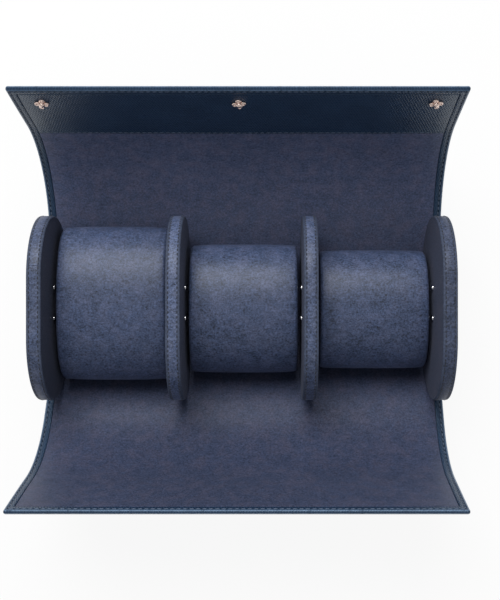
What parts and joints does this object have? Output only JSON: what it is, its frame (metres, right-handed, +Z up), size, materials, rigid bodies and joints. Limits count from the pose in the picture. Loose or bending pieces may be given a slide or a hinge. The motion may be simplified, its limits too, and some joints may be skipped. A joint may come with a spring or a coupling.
{
  "type": "watch travel case",
  "caption": "Watch travel roll: round-ended suede dividers with cushions between them on a leather wrap, whose flaps curl over the dividers and are held by press studs.",
  "frame": {"origin": "middle of the flat underside of the wrap, on the surface that the roll stands on", "axes": "+X along the roll, +Y towards the flap that carries the press studs, +Z up"},
  "size_m": [0.244, 0.2242, 0.1086],
  "materials": {
    "navy_leather": "cross-grain, semi-gloss",
    "suede": "brushed suede nap",
    "rose_gold": "polished rose gold plate",
    "steel": "polished",
    "board": "plain fibreboard",
    "foam": "open-cell foam"
  },
  "bodies": {
    "root": {"base_leather": "navy_leather", "base_board": "board", "base_lining": "suede", "keeper_studs": "steel", "divider_1_core": "board", "divider_1_rim": "suede", "divider_1_faces": "suede", "divider_2_core": "board", "divider_2_rim": "suede", "divider_2_faces": "suede", "divider_3_core": "board", "divider_3_rim": "suede", "divider_3_faces": "suede", "divider_4_core": "board", "divider_4_rim": "suede", "divider_4_faces": "suede"},
    "back_strip_1": {"back_leather_1": "navy_leather", "back_lining_1": "suede"},
    "back_strip_2": {"back_leather_2": "navy_leather", "back_lining_2": "suede"},
    "back_strip_3": {"back_leather_3": "navy_leather", "back_lining_3": "suede"},
    "back_strip_4": {"back_leather_4": "navy_leather", "back_lining_4": "suede"},
    "back_strip_5": {"back_leather_5": "navy_leather", "back_facing_5": "navy_leather"},
    "back_strip_6": {"back_leather_6": "navy_leather", "back_facing_6": "navy_leather", "back_board": "board", "snap_studs": "rose_gold", "snap_stud_washers": "rose_gold"},
    "front_strip_1": {"front_leather_1": "navy_leather", "front_lining_1": "suede"},
    "front_strip_2": {"front_leather_2": "navy_leather", "front_lining_2": "suede"},
    "front_strip_3": {"front_leather_3": "navy_leather", "front_lining_3": "suede"},
    "front_strip_4": {"front_leather_4": "navy_leather", "front_lining_4": "suede"},
    "front_strip_5": {"front_leather_5": "navy_leather", "front_lining_5": "suede"},
    "front_strip_6": {"front_leather_6": "navy_leather", "front_lining_6": "suede", "front_board": "board", "snap_sockets": "rose_gold", "snap_socket_washers": "rose_gold"},
    "cushion_1": {"cushion_1_foam": "foam", "cushion_1_cover": "suede", "cushion_1_ends": "suede"},
    "cushion_2": {"cushion_2_foam": "foam", "cushion_2_cover": "suede", "cushion_2_ends": "suede"},
    "cushion_3": {"cushion_3_foam": "foam", "cushion_3_cover": "suede", "cushion_3_ends": "suede"}
  },
  "joints": [
    {"name": "back_flap_curl", "type": "hinge", "parent": "root", "child": "back_strip_1", "pos_m": [0, 0.03776, 0.00646], "axis": [-1, 0, 0], "range_deg": [-17.4, 5]},
    {"name": "back_fold_2", "type": "hinge", "parent": "back_strip_1", "child": "back_strip_2", "pos_m": [0, 0.04715, 0.00988], "axis": [-1, 0, 0], "range_deg": [-17.4, 5]},
    {"name": "back_fold_3", "type": "hinge", "parent": "back_strip_2", "child": "back_strip_3", "pos_m": [0, 0.05984, 0.0145], "axis": [-1, 0, 0], "range_deg": [-17.4, 5]},
    {"name": "back_fold_4", "type": "hinge", "parent": "back_strip_3", "child": "back_strip_4", "pos_m": [0, 0.08247, 0.02799], "axis": [-1, 0, 0], "range_deg": [-17.4, 5]},
    {"name": "back_fold_5", "type": "hinge", "parent": "back_strip_4", "child": "back_strip_5", "pos_m": [0, 0.10193, 0.0555], "axis": [-1, 0, 0], "range_deg": [-17.4, 5]},
    {"name": "back_fold_6", "type": "hinge", "parent": "back_strip_5", "child": "back_strip_6", "pos_m": [0, 0.10737, 0.0742], "axis": [-1, 0, 0], "range_deg": [-17.4, 5]},
    {"name": "front_flap_curl", "type": "hinge", "parent": "root", "child": "front_strip_1", "pos_m": [0, -0.0435, 0.01068], "axis": [1, 0, 0], "range_deg": [-16.9, 5]},
    {"name": "front_fold_2", "type": "hinge", "parent": "front_strip_1", "child": "front_strip_2", "pos_m": [0, -0.05129, 0.01518], "axis": [1, 0, 0], "range_deg": [-16.9, 5]},
    {"name": "front_fold_3", "type": "hinge", "parent": "front_strip_2", "child": "front_strip_3", "pos_m": [0, -0.06212, 0.02143], "axis": [1, 0, 0], "range_deg": [-16.9, 5]},
    {"name": "front_fold_4", "type": "hinge", "parent": "front_strip_3", "child": "front_strip_4", "pos_m": [0, -0.07896, 0.03302], "axis": [1, 0, 0], "range_deg": [-16.9, 5]},
    {"name": "front_fold_5", "type": "hinge", "parent": "front_strip_4", "child": "front_strip_5", "pos_m": [0, -0.09583, 0.06035], "axis": [1, 0, 0], "range_deg": [-16.9, 5]},
    {"name": "front_fold_6", "type": "hinge", "parent": "front_strip_5", "child": "front_strip_6", "pos_m": [0, -0.09923, 0.07598], "axis": [1, 0, 0], "range_deg": [-16.9, 5]},
    {"name": "cushion_1_lift", "type": "slide", "parent": "root", "child": "cushion_1", "axis": [0, 0, 1], "range_m": [0, 0.085]},
    {"name": "cushion_2_lift", "type": "slide", "parent": "root", "child": "cushion_2", "axis": [0, 0, 1], "range_m": [0, 0.085]},
    {"name": "cushion_3_lift", "type": "slide", "parent": "root", "child": "cushion_3", "axis": [0, 0, 1], "range_m": [0, 0.085]}
  ],
  "couplings": [
    {"joint": "back_fold_2", "follows": "back_flap_curl", "ratio": 1},
    {"joint": "back_fold_3", "follows": "back_flap_curl", "ratio": 1},
    {"joint": "back_fold_4", "follows": "back_flap_curl", "ratio": 1},
    {"joint": "back_fold_5", "follows": "back_flap_curl", "ratio": 1},
    {"joint": "back_fold_6", "follows": "back_flap_curl", "ratio": 1},
    {"joint": "front_fold_2", "follows": "front_flap_curl", "ratio": 1},
    {"joint": "front_fold_3", "follows": "front_flap_curl", "ratio": 1},
    {"joint": "front_fold_4", "follows": "front_flap_curl", "ratio": 1},
    {"joint": "front_fold_5", "follows": "front_flap_curl", "ratio": 1},
    {"joint": "front_fold_6", "follows": "front_flap_curl", "ratio": 1}
  ]
}
